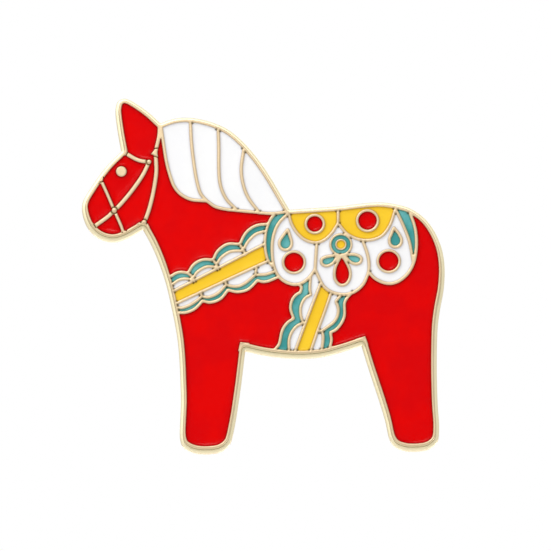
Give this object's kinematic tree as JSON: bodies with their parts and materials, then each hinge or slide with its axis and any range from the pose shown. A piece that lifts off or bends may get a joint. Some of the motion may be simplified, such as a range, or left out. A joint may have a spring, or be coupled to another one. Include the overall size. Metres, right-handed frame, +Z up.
{
  "type": "enamel lapel pin",
  "caption": "Horse-shaped die-struck lapel pin with soft enamel in its pockets, two rear posts and butterfly clutches that slide off when their wings are pinched.",
  "frame": {"origin": "on the flat back of the plate, in the middle of the horse's outline, where the badge lies on the garment", "axes": "+X to the right of a person who looks at the face, +Z up with the horse upright as it is worn, face towards -Y, posts and clutches towards +Y"},
  "size_m": [0.0326, 0.0096, 0.0324],
  "materials": {
    "gold_plating": "light gold plating over die-struck metal, polished on the raised lines",
    "enamel_red": "glossy soft enamel, opaque signal red",
    "enamel_white": "glossy soft enamel, opaque white",
    "enamel_yellow": "glossy soft enamel, opaque warm yellow",
    "enamel_teal": "glossy soft enamel, opaque teal",
    "fastener_brass": "bright brass-plated pin hardware"
  },
  "bodies": {
    "badge": {"struck_plate": "gold_plating", "enamel_ear_and_jaw": "enamel_red", "enamel_forehead": "enamel_red", "enamel_nose": "enamel_red", "enamel_muzzle": "enamel_red", "enamel_neck": "enamel_red", "enamel_foreleg": "enamel_red", "enamel_hindleg": "enamel_red", "enamel_mane_1": "enamel_white", "enamel_mane_2": "enamel_white", "enamel_mane_3": "enamel_white", "enamel_mane_4": "enamel_white", "enamel_saddle_left": "enamel_yellow", "enamel_saddle_right": "enamel_yellow", "enamel_petal_left": "enamel_white", "enamel_petal_middle": "enamel_white", "enamel_petal_right": "enamel_white", "enamel_crescent_left": "enamel_teal", "enamel_crescent_right": "enamel_teal", "enamel_dot_saddle_left": "enamel_red", "enamel_dot_saddle_right": "enamel_red", "enamel_dot_petal_left": "enamel_red", "enamel_dot_petal_right": "enamel_red", "enamel_ring": "enamel_teal", "enamel_ring_centre": "enamel_yellow", "enamel_red_drop": "enamel_red", "enamel_leaf_left": "enamel_teal", "enamel_leaf_right": "enamel_teal", "enamel_drop_left": "enamel_teal", "enamel_drop_right": "enamel_teal", "enamel_breast_band": "enamel_yellow", "enamel_breast_top_white_1": "enamel_white", "enamel_breast_top_white_2": "enamel_white", "enamel_breast_top_white_3": "enamel_white", "enamel_breast_top_white_4": "enamel_white", "enamel_breast_top_teal_1": "enamel_teal", "enamel_breast_top_teal_2": "enamel_teal", "enamel_breast_top_teal_3": "enamel_teal", "enamel_breast_top_teal_4": "enamel_teal", "enamel_breast_bottom_white_1": "enamel_white", "enamel_breast_bottom_white_2": "enamel_white", "enamel_breast_bottom_white_3": "enamel_white", "enamel_breast_bottom_white_4": "enamel_white", "enamel_breast_bottom_teal": "enamel_teal", "enamel_girth_band": "enamel_yellow", "enamel_girth_left_white_upper": "enamel_white", "enamel_girth_left_white_lower": "enamel_white", "enamel_girth_left_teal": "enamel_teal", "enamel_girth_right_white_upper": "enamel_white", "enamel_girth_right_white_lower": "enamel_white", "enamel_girth_right_teal": "enamel_teal", "left_post": "fastener_brass", "right_post": "fastener_brass"},
    "left_clutch": {"left_clutch_cup": "fastener_brass"},
    "left_outer_wing": {"left_clutch_outer_wing": "fastener_brass"},
    "left_inner_wing": {"left_clutch_inner_wing": "fastener_brass"},
    "right_clutch": {"right_clutch_cup": "fastener_brass"},
    "right_outer_wing": {"right_clutch_outer_wing": "fastener_brass"},
    "right_inner_wing": {"right_clutch_inner_wing": "fastener_brass"}
  },
  "joints": [
    {"name": "left_clutch_slide", "type": "slide", "parent": "badge", "child": "left_clutch", "axis": [0, 1, 0], "range_m": [0, 0.0075]},
    {"name": "left_outer_wing_pinch", "type": "hinge", "parent": "left_clutch", "child": "left_outer_wing", "pos_m": [-0.00469, 0.0025, 0.00126], "axis": [-0.342, 0, -0.9397], "range_deg": [0, 12], "stiffness_Nm_per_rad": 0.01},
    {"name": "left_inner_wing_pinch", "type": "hinge", "parent": "left_clutch", "child": "left_inner_wing", "pos_m": [-0.00111, 0.0025, -0.00004], "axis": [0.342, 0, 0.9397], "range_deg": [0, 12], "stiffness_Nm_per_rad": 0.01},
    {"name": "right_clutch_slide", "type": "slide", "parent": "badge", "child": "right_clutch", "axis": [0, 1, 0], "range_m": [0, 0.0075]},
    {"name": "right_outer_wing_pinch", "type": "hinge", "parent": "right_clutch", "child": "right_outer_wing", "pos_m": [0.01169, 0.0025, 0.00126], "axis": [-0.342, 0, 0.9397], "range_deg": [0, 12], "stiffness_Nm_per_rad": 0.01},
    {"name": "right_inner_wing_pinch", "type": "hinge", "parent": "right_clutch", "child": "right_inner_wing", "pos_m": [0.00811, 0.0025, -0.00004], "axis": [0.342, 0, -0.9397], "range_deg": [0, 12], "stiffness_Nm_per_rad": 0.01}
  ],
  "couplings": [
    {"joint": "left_inner_wing_pinch", "follows": "left_outer_wing_pinch", "ratio": 1},
    {"joint": "right_inner_wing_pinch", "follows": "right_outer_wing_pinch", "ratio": 1}
  ]
}
